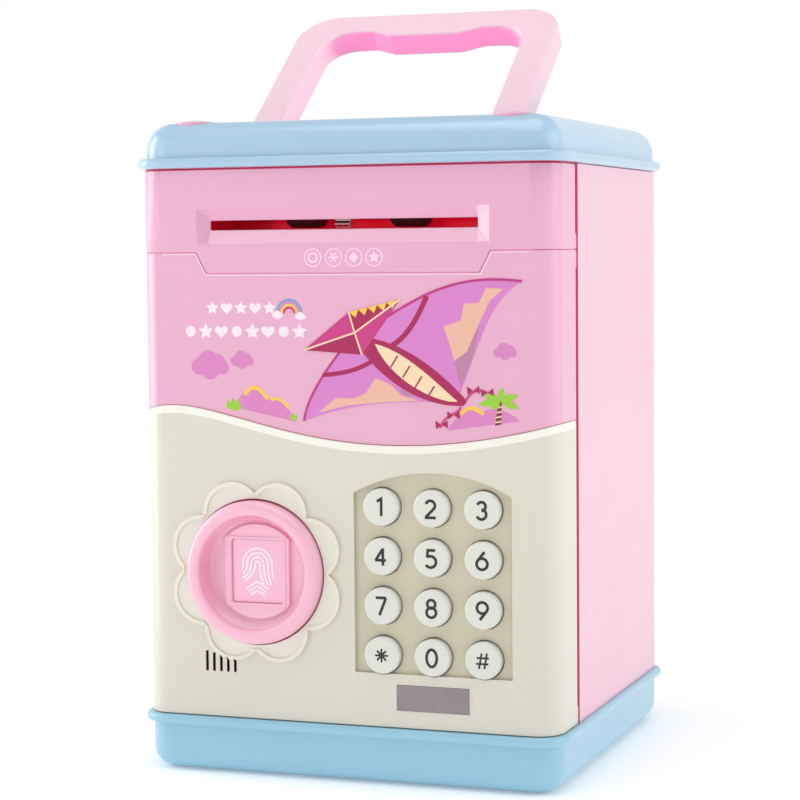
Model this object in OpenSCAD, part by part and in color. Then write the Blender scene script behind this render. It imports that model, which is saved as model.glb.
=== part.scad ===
// Toy safe coin bank: a box-shaped money safe with a hinged front door, a keypad,
// a turning lock knob, a motor-driven bill slot, a lift-off lid and a folding carry handle.
// Origin: centre of the flat bottom face. X to the right, -Y to the front, Z up. Millimetres.

/* [Case] */
// Width of the case walls, left to right
body_w = 130; // [125:1:140]
// Depth of the case walls, front to back
body_d = 124; // [120:1:134]
// Radius of the four upright case corners
corner_r = 8; // [7:0.5:10]
// Thickness of the moulded walls
wall = 2.5; // [2:0.1:2.6]
// How far the lid and base rims stand proud of the case walls
rim = 2; // [1.5:0.5:2.5]
// Height of the base tray
base_h = 17.2; // [17.2:0.1:17.6]
// Height of the underside of the lid
lid_z = 181.1; // [181:0.1:182]
// Height of the flat top of the lid
top_z = 194.8; // [194:0.1:196]
// Depth of the door and of the slot panel, measured from the front face
front_depth = 20.85; // [20.5:0.05:21]

/* [Door] */
// Height of the straight seam between the door and the slot panel
seam_z = 156.2; // [155:0.1:158]
// Height of the lowered middle stretch of that seam
seam_low_z = 150; // [149:0.5:151]
// Gap left above the door
gap = 0.2; // [0.2:0.05:0.3]
// Distance of the hinge axis inside the right-hand face
hinge_inset = 1; // [1:0.1:1.2]

/* [Knob] */
// Position of the knob across the door
knob_x = -27.6; // [-28:0.1:-27]
// Height of the knob centre
knob_z = 61.5; // [61:0.1:62]
// Outer radius of the knob
knob_r = 21.4; // [20:0.1:22]

/* [Keypad] */
// Radius of a key
key_r = 5.5; // [5:0.1:5.7]
// Depth that a key can be pressed
key_travel = 1.5; // [1:0.1:1.5]
// Column spacing of the keys
key_pitch_x = 15.45; // [15:0.05:15.6]
// Row spacing of the keys
key_pitch_z = 14.45; // [14:0.05:14.6]

/* [Slot] */
// Length of the bill slot
slot_w = 83.2; // [80:0.2:84]
// Height of the bill slot
slot_h = 2.8; // [2.5:0.1:3]
// Height of the bottom edge of the bill slot
slot_z = 162.7; // [162.7:0.1:163]

/* [Handle] */
// Half of the outer width of the handle
handle_half_w = 44; // [43:0.5:44]
// Length of the handle from its pivot to the top of the grip
handle_len = 64.5; // [60:0.5:64.5]
// Thickness of the handle
handle_t = 8; // [7:0.5:8]
// Lean of the handle back from upright, as drawn
handle_lean = 52.1; // [45:0.1:60]

/* [Hidden] */
$fn = 64;

pink = [0.95, 0.66, 0.79];
pale_pink = [0.98, 0.82, 0.88];
cream = [0.93, 0.92, 0.87];
blue = [0.62, 0.82, 0.93];
red = [0.75, 0.03, 0.15];
steel = [0.75, 0.76, 0.78];
dark = [0.13, 0.12, 0.13];
white = [0.96, 0.96, 0.96];
board_green = [0.10, 0.36, 0.20];

front_y = -body_d / 2;
side_x = body_w / 2;
inner_x = side_x - wall;
inner_y = body_d / 2 - wall;
seam_y = front_y + front_depth;
eps = 0.01;

// Base and battery compartment
base_round = 6.2;
base_rim_h = 2.9;
base_boss_x = 52;
base_boss_y = [-31, 48.5];
cover_screw_y = -17.5;
cell_y = 12;
cell_pitch = 15.2;
cell_z = 8.9;
cell_r = 7;

// Door
door_z = base_h + 0.3;
door_top = seam_z - gap;
door_wall = 2.2;
door_inner_y = front_y + door_wall;
cover_t = 2;
cover_y = seam_y - 0.25;
tab_half = 45.7;
tab_half_low = 42.4;
wave_gap = 0.1;
swing_gap = 0.25;
notch_tilt = atan((tab_half - tab_half_low) / (seam_z - seam_low_z));

// Hinge
hinge_x = side_x - hinge_inset;
hinge_y = -41;
pin_r = 0.65;
knuckle_r = 1.15;
knuckle_len = 5;
fit = 0.05;
body_edge_left = seam_y + 0.45;
body_edge_right = hinge_y + 2.4;
body_lip_y = -40.45;
body_lip_x = side_x - 1.5;

// Knob, lock and latch
dish_r = 17.1;
dish_floor = 60.1;
well_r = knob_r + 0.5;
well_floor = -58.7;
relief_y = front_y - 0.6;
spindle_r = 3;
disc_r = 12;
disc_y = -49.5;
disc_t = 3;
notch_w = 5.4;
notch_floor = 8;
plunger_r = 2.2;
plunger_y = -51;
tongue_len = 33;
tongue_y = -35.2;
tongue_t = 2;
frame_y = -38.4;
frame_t = 2;
opening_half = 56;
opening_low = 26;

// Keypad
key_x0 = 12.2;
key_z0 = 82;
recess_depth = 1.3;
key_hole_r = key_r + 0.3;
key_front = front_y - 1.2;
key_wall = 2;
key_back = front_y + recess_depth + key_wall + 0.1;
key_flange_r = key_r + 0.9;
key_foot = 1.1;
membrane_t = 1;
board_t = 1.6;
board_y = key_back + key_foot + key_travel + 0.1 + membrane_t + board_t;
window = [16.4, 22.5, 38.7, 30.15];

// Speaker
speaker_x = -42;
speaker_z = 37;
slit_x = -44;
slit_pitch = 2.28;

// Bill feeder
mouth_z = [158.4, 169.1];
feeder_screw_x = 48.5;
feeder_screw_y = -43.6;
lever_y = -52;
lever_z = 169;
flap_y = -37.4;
flap_z = 165.1;
roller_y = -46;
roller_z = 169.7;
roller_r = 6.5;
roller_w = 11;
roller_x = 16.5;
shaft_r = 1.5;
motor_y = -26;
motor_z = 175.3;
tunnel_half = 43;
tunnel_floor = 162.2;
tunnel_top = 166.2;
tunnel_y = [-59.6, -38.3];
pulley_x = 36;
pulley_w = 4;
pulley_r = 3;
motor_pulley_r = 2;
belt_t = 1;

// Lid and handle
rim_h = 3.1;
shoulder_r = 8.5;
lid_wall = 2.4;
cap_x = 50;
cap_y = 51;
cap_r = 6.2;
pivot_y = -24.85;
pivot_z = 189.8;
handle_inner = 33.7;
grip_w = 9.2;
bulge_w = 12.1;
handle_pin_r = 1.5;
recess_play = 0.5;
scoop_y = 45.5;
scoop_r = 7;

// ---------------------------------------------------------------- helpers

// Rectangle centred on the origin with round corners
module round_rect(w, d, r) {
    square([w - 2 * r, d], center = true);
    square([w, d - 2 * r], center = true);
    for (sx = [-1, 1], sy = [-1, 1])
        translate([sx * (w / 2 - r), sy * (d / 2 - r)]) circle(r);
}

// Rectangle with its lower left corner at p and its upper right corner at q
module span(p, q) {
    translate(p) square([q[0] - p[0], q[1] - p[1]]);
}

// Box from corner p to corner q
module block(p, q) {
    translate(p) cube([q[0] - p[0], q[1] - p[1], q[2] - p[2]]);
}

// Stands a flat XZ outline up and extrudes it from y_back forward to y_front
module forward(y_back, y_front) {
    translate([0, y_back, 0]) rotate([90, 0, 0])
        linear_extrude(y_back - y_front) children();
}

// Cylinder along Y from y_back forward to y_front, centred on x, z
module rod_y(x, z, r, y_back, y_front) {
    forward(y_back, y_front) translate([x, z]) circle(r);
}

// Cylinder along X from x0 to x1, centred on y, z
module rod_x(y, z, r, x0, x1) {
    translate([x0, y, z]) rotate([0, 90, 0]) cylinder(r = r, h = x1 - x0);
}

// Cylinder along Z from z0 to z1, centred on x, y
module rod_z(x, y, r, z0, z1) {
    translate([x, y, z0]) cylinder(r = r, h = z1 - z0);
}

// Pan-head screw pointing down, with the underside of its head at the origin
module screw_down(r, len, head_r, head_h) {
    translate([0, 0, -len]) cylinder(r = r, h = len + eps);
    difference() {
        cylinder(r = head_r, h = head_h);
        for (a = [0, 90])
            rotate(a) translate([-head_r * 0.6, -0.4, head_h - 0.9]) cube([head_r * 1.2, 0.8, 1]);
    }
}

// Half section from x = 0 out to x1, its outer corners rounded by rb below and rt above
module edge_section(x1, z0, z1, rb, rt) {
    span([0, z0 + rb], [x1, z1 - rt]);
    if (rb > 0) {
        span([0, z0], [x1 - rb, z0 + rb]);
        intersection() {
            translate([x1 - rb, z0 + rb]) circle(rb);
            span([x1 - rb, z0], [x1, z0 + rb]);
        }
    }
    if (rt > 0) {
        span([0, z1 - rt], [x1 - rt, z1]);
        intersection() {
            translate([x1 - rt, z1 - rt]) circle(rt);
            span([x1 - rt, z1 - rt], [x1, z1]);
        }
    }
}

// Solid w by d with upright corners of radius r and rounded bottom and top edges
module soft_box(w, d, r, z0, z1, rb, rt) {
    cx = w / 2 - r;
    cy = d / 2 - r;
    for (i = [0:3]) {
        sx = i == 0 || i == 3 ? 1 : -1;
        sy = i < 2 ? 1 : -1;
        translate([sx * cx, sy * cy, 0]) rotate(90 * i)
            rotate_extrude(angle = 90) edge_section(r, z0, z1, rb, rt);
    }
    forward(cy, -cy) both_ways() edge_section(w / 2, z0, z1, rb, rt);
    rotate(90) forward(cx, -cx) both_ways() edge_section(d / 2, z0, z1, rb, rt);
}

module both_ways() {
    children();
    mirror([1, 0]) children();
}

// Point at parameter t on the cubic curve through four control points
function bezier(p, t) = pow(1 - t, 3) * p[0] + 3 * pow(1 - t, 2) * t * p[1]
    + 3 * (1 - t) * t * t * p[2] + t * t * t * p[3];

// Wavy seam between the cream door front and the pink print panel
wave_ctrl = [[-side_x - 1, 108.1], [-41.3, 120.3], [-12.2, 85.8], [side_x + 1, 107]];
wave_points = [for (i = [0:28]) bezier(wave_ctrl, i / 28)];

// Everything below the wave, or above it
module below_wave() {
    polygon(concat([for (p = wave_points) [p[0], p[1] - wave_gap]],
        [[side_x + 1, 0], [-side_x - 1, 0]]));
}
module above_wave() {
    polygon(concat([for (p = wave_points) [p[0], p[1] + wave_gap]],
        [[side_x + 1, 200], [-side_x - 1, 200]]));
}

// Door outline seen from the front, shrunk by inset, with the notch for the slot panel
module door_face(inset) {
    low = seam_low_z - gap - inset;
    polygon([[-side_x - 1 + inset, door_z + inset], [side_x + 1 - inset, door_z + inset],
        [side_x + 1 - inset, door_top - inset],
        [tab_half + gap + inset * 0.6, door_top - inset],
        [tab_half_low + gap + inset * 0.6, low],
        [-tab_half_low - swing_gap - inset * 0.6, low],
        [-tab_half - swing_gap - inset * 0.6, door_top - inset],
        [-side_x - 1 + inset, door_top - inset]]);
}

// Plan of the front shells: the case outline forward of y
module front_plan(inset, y) {
    intersection() {
        round_rect(body_w - 2 * inset, body_d - 2 * inset, corner_r - inset);
        span([-100, -100], [100, y]);
    }
}

// Solid front block: plan by front outline
module front_solid(inset, y) {
    intersection() {
        linear_extrude(200) front_plan(inset, y);
        forward(y + 1, front_y - 5) children();
    }
}

// Hinge knuckle round the hinge axis, joined to the side wall in front of it
module knuckle(z0, z1) {
    rod_z(hinge_x, hinge_y, knuckle_r, z0, z1);
    block([hinge_x - 1.1, seam_y - 1.5, z0], [side_x - 0.1, hinge_y - 0.3, z1]);
}

// Eight overlapping petals round the knob
module petals(r) {
    translate([knob_x, knob_z]) {
        circle(22);
        for (i = [0:7])
            rotate(22.5 + 45 * i) translate([18.7, 0]) circle(r);
    }
}

// Keypad recess outline: upright sides and an arched top
module keypad_outline(grow) {
    x0 = 3.5 - grow;
    x1 = 51.7 + grow;
    arch_r = 49.4 + grow;
    intersection() {
        span([x0, 33.2 - grow], [x1, 100]);
        translate([(x0 + x1) / 2, 92.2 - 49.4]) circle(arch_r, $fn = 128);
    }
}

// ---------------------------------------------------------------- base

module base_tray() color(blue) difference() {
    union() {
        soft_box(body_w, body_d, 8.5, 0, base_h - 1, base_round, 0);
        soft_box(body_w + 2 * rim, body_d + 2 * rim, 10, base_h - base_rim_h, base_h, 1.3, 1.3);
    }
    difference() {
        union() {
            translate([0, 0, 2.4]) linear_extrude(6.2) round_rect(body_w - 18, body_d - 18, 4);
            translate([0, 0, 8.5]) linear_extrude(20) round_rect(2 * inner_x, 2 * inner_y, 6);
        }
        block([-70, -70, base_h - 2], [70, -36, base_h + 5]);
        for (sx = [-1, 1], y = base_boss_y) rod_z(sx * base_boss_x, y, 4.5, 2, base_h);
        rod_z(0, cover_screw_y, 4, 2, 14);
    }
    translate([-70, -70, base_h]) cube([140, 140, 10]);
    for (sx = [-1, 1], y = base_boss_y) {
        rod_z(sx * base_boss_x, y, 1.8, 0, 30);
        rod_z(sx * base_boss_x, y, 3.3, -1, 10);
    }
    rod_z(0, cover_screw_y, 1.35, -1, 11);
    translate([0, 0, -1]) linear_extrude(2.2) cover_plan(0.25);
    block([-28, -11, -1], [28, 35, 5]);
    rod_z(hinge_x, hinge_y, pin_r + fit, 15, 25);
}

// Plan of the battery cover, grown by play
module cover_plan(play) {
    translate([0, 12]) round_rect(62 + 2 * play, 52 + 2 * play, 3);
    translate([0, -15]) round_rect(14 + 2 * play, 14 + 2 * play, 3);
}

module battery_cover() color(blue) {
    difference() {
        linear_extrude(1.2) cover_plan(0);
        rod_z(0, cover_screw_y, 1.6, -1, 3);
        rod_z(0, cover_screw_y, 2.7, -1, 0.6);
        for (i = [-3:3]) block([i * 3 - 0.5, 26, -1], [i * 3 + 0.5, 34, 0.5]);
    }
    for (sx = [-1, 1]) block([sx * 18 - 4, 34, 1.2], [sx * 18 + 4, 34.8, 2.3]);
}

module battery_cover_screw() color(steel) {
    translate([0, cover_screw_y, 0.6]) mirror([0, 0, 1]) screw_down(1.3, 9, 2.5, 0.55);
}

module battery_box() color(dark) difference() {
    block([-30, -13, 2.4], [30, 37, base_h - 0.1]);
    block([-28.5, -11.5, 1], [28.5, 35.5, base_h - 1.2]);
}

module battery_cells() for (i = [-1:1]) {
    s = i == 0 ? -1 : 1;
    color([0.2, 0.45, 0.25]) translate([-25 * s, cell_y + cell_pitch * i, cell_z]) rotate([0, 90 * s, 0])
        rotate_extrude() {
            square([cell_r - 0.6, 49.5]);
            translate([0, 0.6]) square([cell_r, 48.3]);
            square([2.6, 50.5]);
        }
}

module battery_contacts() color(steel) for (sx = [-1, 1], i = [-1:1])
    translate([sx * 28.1, cell_y + cell_pitch * i, cell_z]) rotate([0, 90, 0])
        translate([0, 0, -0.3]) linear_extrude(0.6) round_rect(11, 12, 2);

module chamber_floor() color(pale_pink) difference() {
    translate([0, 0, base_h]) linear_extrude(2) intersection() {
        round_rect(2 * inner_x - 0.6, 2 * inner_y - 0.6, 5);
        span([-100, -36], [100, 100]);
    }
    for (sx = [-1, 1], y = base_boss_y) rod_z(sx * base_boss_x, y, 1.8, 0, 30);
}

module base_screws() color(steel) for (sx = [-1, 1], y = base_boss_y)
    translate([sx * base_boss_x, y, 10]) mirror([0, 0, 1]) screw_down(1.6, 19, 3, 2);

// ---------------------------------------------------------------- case

module body_shell() color(pale_pink) difference() {
    union() {
        difference() {
            translate([0, 0, base_h + 0.1]) linear_extrude(lid_z - base_h - 0.3)
                round_rect(body_w, body_d, corner_r);
            linear_extrude(200) round_rect(2 * inner_x, 2 * inner_y, corner_r - wall);
            block([-70, -70, 0], [0, body_edge_left, 200]);
            block([0, -70, 0], [70, body_lip_y, 200]);
            block([body_lip_x, -70, 0], [70, body_edge_right, 200]);
        }
        forward(frame_y, frame_y - frame_t) difference() {
            span([-inner_x - 0.5, base_h + 0.1], [inner_x + 0.5, 159.4]);
            span([-opening_half, opening_low], [opening_half, seam_low_z]);
        }
        for (sx = [-1, 1], y = base_boss_y)
            block([sx * 56 - 7, y - 5, base_h + 2.05], [sx * 56 + 7, y + 5, 33]);
        // screw posts of the lid, kept inside the rounded rear corners
        for (sx = [-1, 1]) intersection() {
            block([sx * 54.5 - 8.5, cap_y - 4.5, 168], [sx * 54.5 + 8.5, 60.5, lid_z - 0.3]);
            linear_extrude(200) round_rect(body_w - 1, body_d - 1, corner_r - 0.5);
        }
    }
    for (sx = [-1, 1], y = base_boss_y) rod_z(sx * base_boss_x, y, 1.65, 0, 31);
    for (sx = [-1, 1]) rod_z(sx * cap_x, cap_y, 1.65, 169.5, 200);
    rod_z(hinge_x, hinge_y, knuckle_r + 0.3, base_h, 162);
}

module strike_plate() color(steel) difference() {
    block([-inner_x + 0.1, frame_y + 0.02, 46], [-opening_half + 0.5, frame_y + 0.82, 78]);
    for (z = [50, 74]) rod_y(-59, z, 1.2, 0, -50);
}

module upper_front_panel() color(pink) difference() {
    union() {
        difference() {
            front_solid(0, seam_y) panel_face();
            intersection() {
                linear_extrude(200) front_plan(door_wall, seam_y + 1);
                forward(seam_y + 1, front_y - 5) span([-80, seam_z + 2.2], [80, 200]);
            }
            block([-80, door_inner_y, 0], [80, 0, seam_z]);
        }
        for (sx = [-1, 1]) rod_z(sx * cap_x, -cap_y, 4.2, seam_z + 1, lid_z - 0.5);
        for (sx = [-1, 1]) rod_z(sx * feeder_screw_x, feeder_screw_y, 2.3, seam_z + 1, tunnel_floor - 2);
        knuckle(seam_z + 0.2, seam_z + 4.5);
    }
    // bevelled mouth and bill slot
    hull() {
        forward(front_y + 1.7, front_y + 1.6) span([-slot_w / 2, slot_z], [slot_w / 2, slot_z + slot_h]);
        forward(front_y, front_y - 0.1) span([-tab_half, mouth_z[0]], [tab_half, mouth_z[1]]);
    }
    forward(front_y + 5, front_y - 5) span([-slot_w / 2, slot_z], [slot_w / 2, slot_z + slot_h]);
    for (sx = [-1, 1]) rod_z(sx * cap_x, -cap_y, 1.65, 166, 200);
    for (sx = [-1, 1]) rod_z(sx * feeder_screw_x, feeder_screw_y, 1.15, seam_z + 0.6, 170);
    rod_z(hinge_x, hinge_y, pin_r + fit, seam_z - 1, seam_z + 3.6);
}

// Front outline of the slot panel with its lowered tab
module panel_face() {
    half = side_x + 1;
    polygon([[-half, seam_z], [-tab_half, seam_z], [-tab_half_low, seam_low_z],
        [tab_half_low, seam_low_z], [tab_half, seam_z], [half, seam_z],
        [half, lid_z - 0.2], [-half, lid_z - 0.2]]);
}

// ---------------------------------------------------------------- bill feeder

module feeder_housing() color(red) difference() {
    union() {
        block([-tunnel_half - 2, tunnel_y[0], tunnel_floor - 2],
              [tunnel_half + 2, tunnel_y[1], tunnel_top + 1.2]);
        for (sx = [-1, 1])
            block([sx * 48 - 3.5, -46.3, tunnel_floor - 2], [sx * 48 + 3.5, -41.2, tunnel_floor]);
        for (sx = [-1, 1])
            block([sx * 26 - 1, -50, tunnel_top], [sx * 26 + 1, -42, roller_z + 4]);
        block([6, -40, tunnel_top], [35, -15.5, tunnel_top + 1.2]);
        for (sx = [-1, 1]) block([sx * 44 - 1, -40, tunnel_top - 3], [sx * 44 + 1, -36, tunnel_top + 1.2]);
    }
    block([-tunnel_half, tunnel_y[0] - 1, tunnel_floor], [tunnel_half, tunnel_y[1] + 1, tunnel_top]);
    for (sx = [-1, 1]) block([sx * roller_x - 6.5, -53.5, 160], [sx * roller_x + 6.5, -38.9, 200]);
    block([-6.5, -56.5, tunnel_top - 1], [1.5, -44, 200]);
    block([pulley_x - 1.5, -53.5, tunnel_top - 1], [pulley_x + pulley_w + 1.5, -38.9, 200]);
    for (sx = [-1, 1]) rod_z(sx * feeder_screw_x, feeder_screw_y, 1.3, 150, 170);
    rod_x(roller_y, roller_z, shaft_r + fit, -30, 30);
    rod_x(flap_y, flap_z, 0.65, -50, 50);
}

module feeder_screws() color(steel) for (sx = [-1, 1])
    translate([sx * feeder_screw_x, feeder_screw_y, tunnel_floor]) screw_down(1.1, 5, 2.1, 1.4);

module feeder_motor() color(steel) {
    difference() {
        intersection() {
            block([8, motor_y - 10, motor_z - 7.5], [33, motor_y + 10, motor_z + 7.5]);
            rod_x(motor_y, motor_z, 10, 0, 40);
        }
        rod_x(motor_y, motor_z, 1.1, 0, 40);
    }
    for (x = [8, 31]) difference() {
        rod_x(motor_y, motor_z, 3, x, x + 2);
        rod_x(motor_y, motor_z, 1.05, 0, 40);
    }
}

module motor_pulley() color(white) {
    rod_x(motor_y, motor_z, 1, 9, pulley_x + pulley_w + 1);
    rod_x(motor_y, motor_z, motor_pulley_r, pulley_x, pulley_x + pulley_w);
    for (x = [pulley_x - 0.7, pulley_x + pulley_w])
        rod_x(motor_y, motor_z, motor_pulley_r + 1, x, x + 0.7);
}

module roller_shaft() color(steel) rod_x(roller_y, roller_z, shaft_r, -28.5, 42.5);

module shaft_pulley() color(white) difference() {
    union() {
        rod_x(roller_y, roller_z, pulley_r, pulley_x, pulley_x + pulley_w);
        for (x = [pulley_x - 0.7, pulley_x + pulley_w])
            rod_x(roller_y, roller_z, pulley_r + 1, x, x + 0.7);
    }
    rod_x(roller_y, roller_z, shaft_r, 0, 60);
}

module feed_rollers() color(dark) for (sx = [-1, 1])
    translate([sx * roller_x - roller_w / 2, roller_y, roller_z]) rotate([0, 90, 0])
        rotate_extrude() {
            translate([shaft_r, 0]) square([roller_r - 1.5 - shaft_r, roller_w]);
            translate([shaft_r, 1.5]) square([roller_r - shaft_r, roller_w - 3]);
            for (h = [1.5, roller_w - 1.5]) translate([roller_r - 1.5, h]) circle(1.5);
        }

// Outline of the belt path, seen along X, round both pulleys at the given extra radius
module belt_loop(extra) hull() {
    translate([roller_y, roller_z]) circle(pulley_r + extra);
    translate([motor_y, motor_z]) circle(motor_pulley_r + extra);
}

module drive_belt() color(dark)
    translate([pulley_x + 1, 0, 0]) rotate([90, 0, 90]) linear_extrude(pulley_w - 2)
        difference() {
            belt_loop(0.15 + belt_t);
            belt_loop(0.15);
        }

module bill_switch() color(dark) difference() {
    block([-9, -57, tunnel_top + 1.25], [4, -48.1, 175]);
    block([-5.3, -58, 160], [0.3, -49.3, 171.5]);
    rod_x(lever_y, lever_z, 0.55, -8, 3);
}

module switch_lever() color(steel) {
    rod_x(lever_y, lever_z, 0.5, -7.5, 2.5);
    block([-4.8, lever_y - 0.4, 163.2], [-0.2, lever_y + 0.4, lever_z]);
    translate([-2.5, lever_y - 0.4, 164.2]) rotate([0, 90, 0]) cylinder(r = 0.9, h = 4.4, center = true);
}

module bill_flap() color(red) {
    rod_x(flap_y, flap_z, 0.6, -44.6, 44.6);
    block([-42.4, flap_y - 0.4, 162.7], [42.4, flap_y + 0.4, flap_z]);
}

// ---------------------------------------------------------------- lid and handle

module lid_outer() {
    soft_box(body_w + 2 * rim, body_d + 2 * rim, 10, lid_z, lid_z + rim_h, 1.3, 1.3);
    soft_box(body_w, body_d, 9.5, lid_z + 1, top_z, 0, shoulder_r);
}

// Room that the folded handle needs, from z upwards; play is added all round
module handle_recess(play, z) {
    y0 = pivot_y - handle_t / 2 - play;
    y1 = pivot_y + handle_len + play;
    island_y = y1 - bulge_w - 2 * play;
    translate([0, 0, z]) linear_extrude(30) difference() {
        span([-handle_half_w - play, y0], [handle_half_w + play, y1]);
        translate([0, island_y - 60]) round_rect(2 * (handle_inner - play), 120, 7);
    }
}

module lid() color(blue) difference() {
    union() {
        difference() {
            lid_outer();
            translate([0, 0, lid_z - 1]) linear_extrude(5.2)
                round_rect(2 * inner_x, 2 * inner_y, 6);
            translate([0, 0, lid_z - 1]) linear_extrude(top_z - lid_wall - lid_z + 1)
                round_rect(body_w - 12, body_d - 12, 6);
        }
        intersection() {
            handle_recess(2.6, pivot_z - handle_t / 2 - 2.6);
            translate([0, 0, 100]) linear_extrude(93.5) square([120, 110], center = true);
        }
        for (sx = [-1, 1], sy = [-1, 1]) rod_z(sx * cap_x, sy * cap_y, 5.6, lid_z, top_z - 2);
        intersection() {
            rod_x(scoop_y, top_z + 1, scoop_r + 2.2, -13, 13);
            block([-20, 30, 170], [20, 60, top_z - 1]);
        }
    }
    handle_recess(recess_play, pivot_z - handle_t / 2 - recess_play);
    for (sx = [-1, 1])
        rod_x(pivot_y, pivot_z, handle_pin_r + 0.02, sx * 39 - 8.2, sx * 39 + 8.2);
    for (sx = [-1, 1], sy = [-1, 1]) {
        rod_z(sx * cap_x, sy * cap_y, 1.8, 170, 200);
        rod_z(sx * cap_x, sy * cap_y, 3.6, lid_z + 3, 200);
        rod_z(sx * cap_x, sy * cap_y, cap_r + 0.15, top_z - 3, 200);
    }
    block([-16, 9.2, 180], [16, 12.8, 200]);
    rod_x(scoop_y, top_z + 1, scoop_r, -11, 11);
}

module lid_screws() color(steel) for (sx = [-1, 1], sy = [-1, 1])
    translate([sx * cap_x, sy * cap_y, lid_z + 3]) screw_down(1.6, 14, 3.2, 2.2);

module screw_caps() color(pink) for (sx = [-1, 1], sy = [-1, 1])
    translate([sx * cap_x, sy * cap_y, top_z - 3]) intersection() {
        cylinder(r = cap_r, h = 8);
        translate([0, 0, 3.9 - 26]) sphere(26, $fn = 96);
    }

module handle_pins() color(steel) for (sx = [-1, 1])
    rod_x(pivot_y, pivot_z, handle_pin_r, sx * 39 - 7.6, sx * 39 + 7.6);

// Front outline of the bail, with its pivot at the origin
module handle_front() {
    inner_top = handle_len - grip_w;
    difference() {
        translate([0, handle_len / 2 - 10])
            round_rect(2 * handle_half_w, handle_len + 20, 12.5);
        difference() {
            translate([0, inner_top / 2 - 15]) round_rect(2 * handle_inner, inner_top + 30, 9.5);
            polygon([[-18.3, handle_len], [-18.3, inner_top],
                [-11.5, handle_len - bulge_w], [11.5, handle_len - bulge_w],
                [18.3, inner_top], [18.3, handle_len]]);
        }
        span([-50, -60], [50, -handle_t / 2 - 0.5]);
    }
}

module handle() color(pink) difference() {
    translate([0, pivot_y, pivot_z]) rotate([90 - handle_lean, 0, 0]) intersection() {
        translate([0, 0, -handle_t]) linear_extrude(2 * handle_t) handle_front();
        translate([-60, 0, 0]) rotate([90, 0, 90]) linear_extrude(120) {
            circle(handle_t / 2);
            span([0, -handle_t / 2], [handle_len + 10, handle_t / 2]);
        }
    }
    rod_x(pivot_y, pivot_z, handle_pin_r + fit, -60, 60);
}

module hinge_pins() color(steel) {
    rod_z(hinge_x, hinge_y, pin_r, 15.1, door_z + 4.6);
    rod_z(hinge_x, hinge_y, pin_r, door_top - 4.6, seam_z + 3.5);
}

// ---------------------------------------------------------------- door

board_posts = [[4.5, 29.8], [50.5, 29.8], [6.5, 92.6], [48.7, 92.6]];
cream_bosses = [[-57, 26], [57, 26], [57, 95], [-57, 98]];
pink_bosses = [[-57, 148], [57, 148], [-6, 112]];

// Screw bosses from the front wall back to the door's back cover
module bosses(places) for (p = places)
    rod_y(p[0], p[1], 3.2, cover_y - cover_t, front_y + 1);

module boss_holes(places) for (p = places)
    rod_y(p[0], p[1], 1.25, cover_y, front_y + 4);

module door_hollow() front_solid(door_wall, seam_y + 1) door_face(door_wall + 1);

module door_front() color(cream) difference() {
    union() {
        difference() {
            intersection() {
                front_solid(0, seam_y) door_face(0);
                forward(0, -80) below_wave();
            }
            difference() {
                door_hollow();
                rod_y(knob_x, knob_z, well_r + 2, well_floor + 2, -80);
                forward(front_y + recess_depth + key_wall, -80) keypad_outline(2);
                bosses(cream_bosses);
            }
        }
        forward(front_y + 1, relief_y) petals(9.4);
        forward(front_y + 1, relief_y - 0.5) difference() {
            petals(9.4);
            petals(8.2);
            translate([knob_x, knob_z]) circle(23);
        }
        rod_y(knob_x, knob_z, 5.4, -54, well_floor + 1);
        for (p = board_posts) rod_y(p[0], p[1], 1.1, board_y + 0.7, front_y + 1.4);
        knuckle(door_z + 0.2, door_z + 0.2 + knuckle_len);
    }
    rod_y(knob_x, knob_z, well_r, well_floor, -80);
    rod_y(knob_x, knob_z, spindle_r + fit, 0, -80);
    forward(front_y + recess_depth, -80) keypad_outline(0);
    for (row = [0:3], col = [0:2])
        rod_y(key_x0 + col * key_pitch_x, key_z0 - row * key_pitch_z, key_hole_r, 0, -80);
    forward(0, -80) span([window[0] + 1, window[1] + 1], [window[2] - 1, window[3] - 1]);
    forward(front_y + 1.2, -80) span([window[0], window[1]], [window[2], window[3]]);
    for (i = [0:4]) forward(0, -80) translate([slit_x + slit_pitch * i, 0])
        span([-0.45, 31], [0.45, 37.1 - 0.5 * i]);
    boss_holes(cream_bosses);
    rod_z(hinge_x, hinge_y, pin_r + fit, door_z, door_z + 4.7);
}

module door_print_panel() color(pink) difference() {
    union() {
        difference() {
            intersection() {
                front_solid(0, seam_y) door_face(0);
                forward(0, -80) above_wave();
                translate([-100, front_y + 0.35, 0]) cube([200, 100, 200]);
            }
            difference() {
                door_hollow();
                bosses(pink_bosses);
                // wall left of the notch, set back so that the tab clears it as the door swings
                block([-56, door_inner_y - 1, 146], [-50, cover_y - cover_t, 160]);
            }
        }
        knuckle(door_top - 0.2 - knuckle_len, door_top - 0.2);
    }
    block([-53, door_inner_y, seam_low_z - gap], [-42.5, 0, 160]);
    translate([-tab_half_low - swing_gap, 0, seam_low_z - gap]) rotate([0, -notch_tilt, 0])
        translate([0, 0, -0.5]) linear_extrude(8.5)
            polygon([[0.1, front_y + 0.5], [0.1, door_inner_y + 0.5],
                [-0.6, door_inner_y + 0.5], [0, front_y + 0.5]]);
    boss_holes(pink_bosses);
    rod_z(hinge_x, hinge_y, pin_r + fit, door_top - 4.7, door_top + 1);
}

module door_back_cover() color(white) difference() {
    forward(cover_y, cover_y - cover_t) difference() {
        intersection() {
            door_face(3.5);
            span([-inner_x + 0.1, 0], [inner_x - 0.9, 200]);
        }
        translate([knob_x, knob_z]) circle(spindle_r + fit);
    }
    for (p = concat(cream_bosses, pink_bosses)) {
        rod_y(p[0], p[1], 1.4, 0, -80);
        rod_y(p[0], p[1], 2.6, 0, cover_y - 1);
    }
}

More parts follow.
